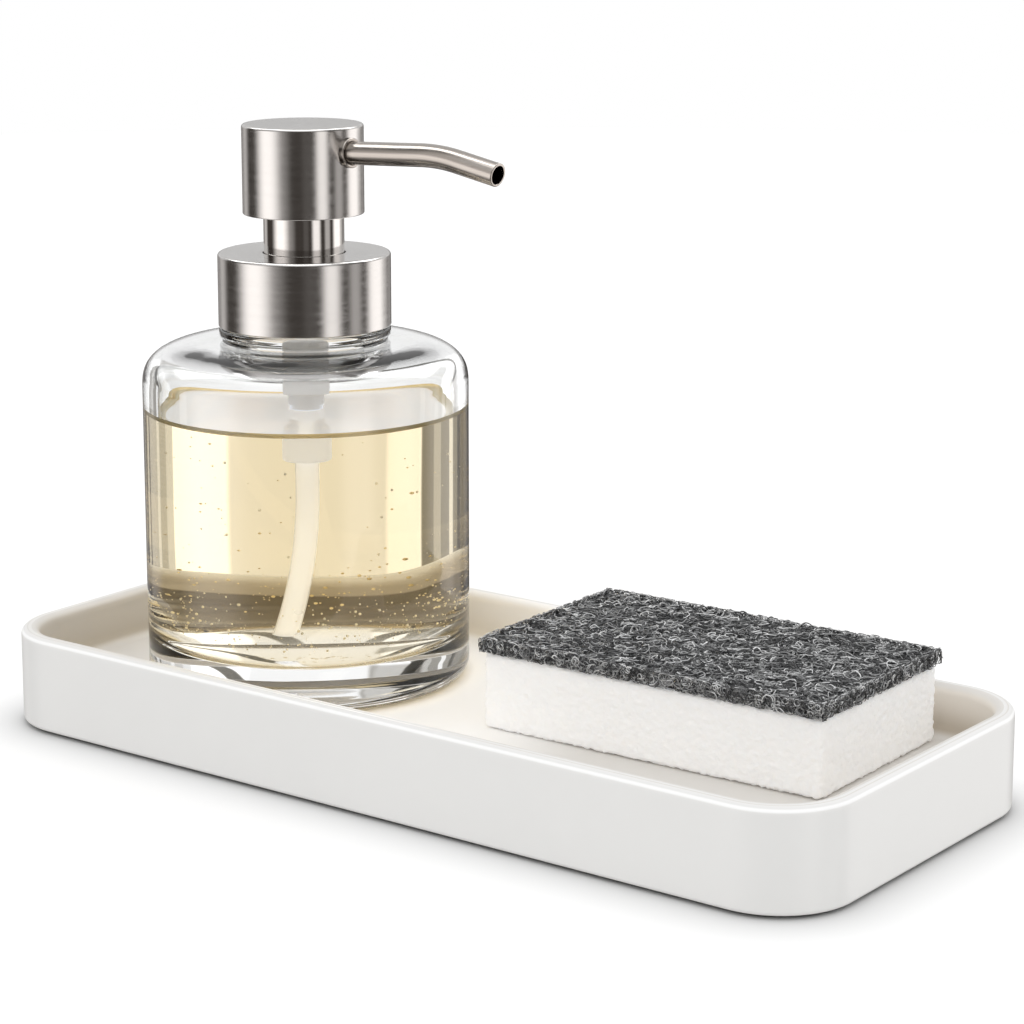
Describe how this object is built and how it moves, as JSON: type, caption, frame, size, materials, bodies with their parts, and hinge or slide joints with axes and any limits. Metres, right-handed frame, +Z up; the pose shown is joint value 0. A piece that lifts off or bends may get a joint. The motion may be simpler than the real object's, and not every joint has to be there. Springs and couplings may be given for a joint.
{
  "type": "countertop organizer tray",
  "caption": "Countertop organizer tray with rounded corners that holds a glass pump bottle of liquid soap and a two-layer scouring sponge.",
  "frame": {"origin": "middle of the tray's footprint, on the surface that it stands on", "axes": "+Z up, +X along the tray's long side from the bottle towards the sponge, -Y towards the user"},
  "size_m": [0.26, 0.114, 0.1636],
  "materials": {
    "tray": "warm white moulded plastic with a satin skin",
    "foot": "translucent grey silicone",
    "glass": "clear colourless glass",
    "soap": "clear pale gold liquid with fine bubbles",
    "seal": "soft foam sealing ring",
    "pump_plastic": "white moulded plastic",
    "polished_steel": "polished stainless steel",
    "brushed_steel": "fine brushed stainless steel, turned lines",
    "spout_steel": "satin stainless steel tube",
    "spring_steel": "drawn spring wire",
    "piston_plastic": "soft blue sealing plastic",
    "tube_plastic": "milky translucent tube",
    "foam": "white open-cell foam",
    "scour_pad": "charcoal non-woven scouring fibre"
  },
  "bodies": {
    "tray": {"tray_shell": "tray", "foot_front_left": "foot", "foot_front_right": "foot", "foot_back_left": "foot", "foot_back_right": "foot"},
    "bottle": {"bottle_glass": "glass", "liquid_soap": "soap"},
    "pump": {"pump_housing": "pump_plastic", "neck_gasket": "seal", "lock_ring": "pump_plastic", "neck_sleeve": "polished_steel", "dip_tube": "tube_plastic", "return_spring": "spring_steel"},
    "closure": {"collar_shell": "brushed_steel", "closure_liner": "pump_plastic"},
    "valve": {"inlet_ball": "polished_steel"},
    "plunger": {"piston_seal": "piston_plastic"},
    "head": {"stem_tube": "pump_plastic", "head_insert": "pump_plastic", "head_shell": "brushed_steel", "spout_tube": "spout_steel", "spout_ring": "spout_steel"},
    "sponge": {"sponge_foam": "foam", "scour_pad": "scour_pad"}
  },
  "joints": [
    {"name": "dispenser_lift", "type": "slide", "parent": "tray", "child": "bottle", "axis": [0, 0, 1], "range_m": [0, 0.15]},
    {"name": "sponge_lift", "type": "slide", "parent": "tray", "child": "sponge", "axis": [0, 0, 1], "range_m": [0, 0.1]},
    {"name": "pump_rise", "type": "slide", "parent": "bottle", "child": "pump", "axis": [0, 0, 1], "range_m": [0, 0.0042]},
    {"name": "collar_turn", "type": "hinge", "parent": "pump", "child": "closure", "pos_m": [-0.064, 0, 0.1195], "axis": [0, 0, 1], "range_deg": [0, 360]},
    {"name": "valve_lift", "type": "slide", "parent": "pump", "child": "valve", "axis": [0, 0, 1], "range_m": [0, 0.0012]},
    {"name": "pump_press", "type": "slide", "parent": "pump", "child": "plunger", "axis": [0, 0, -1], "range_m": [0, 0.0095], "stiffness_N_per_m": 500, "springref_m": -0.004, "deforming": ["return_spring"]},
    {"name": "head_swivel", "type": "hinge", "parent": "plunger", "child": "head", "pos_m": [-0.064, 0, 0.15], "axis": [0, 0, 1], "continuous": true}
  ],
  "couplings": [
    {"joint": "pump_rise", "follows": "collar_turn", "m_per_rad": 0.0006684}
  ]
}
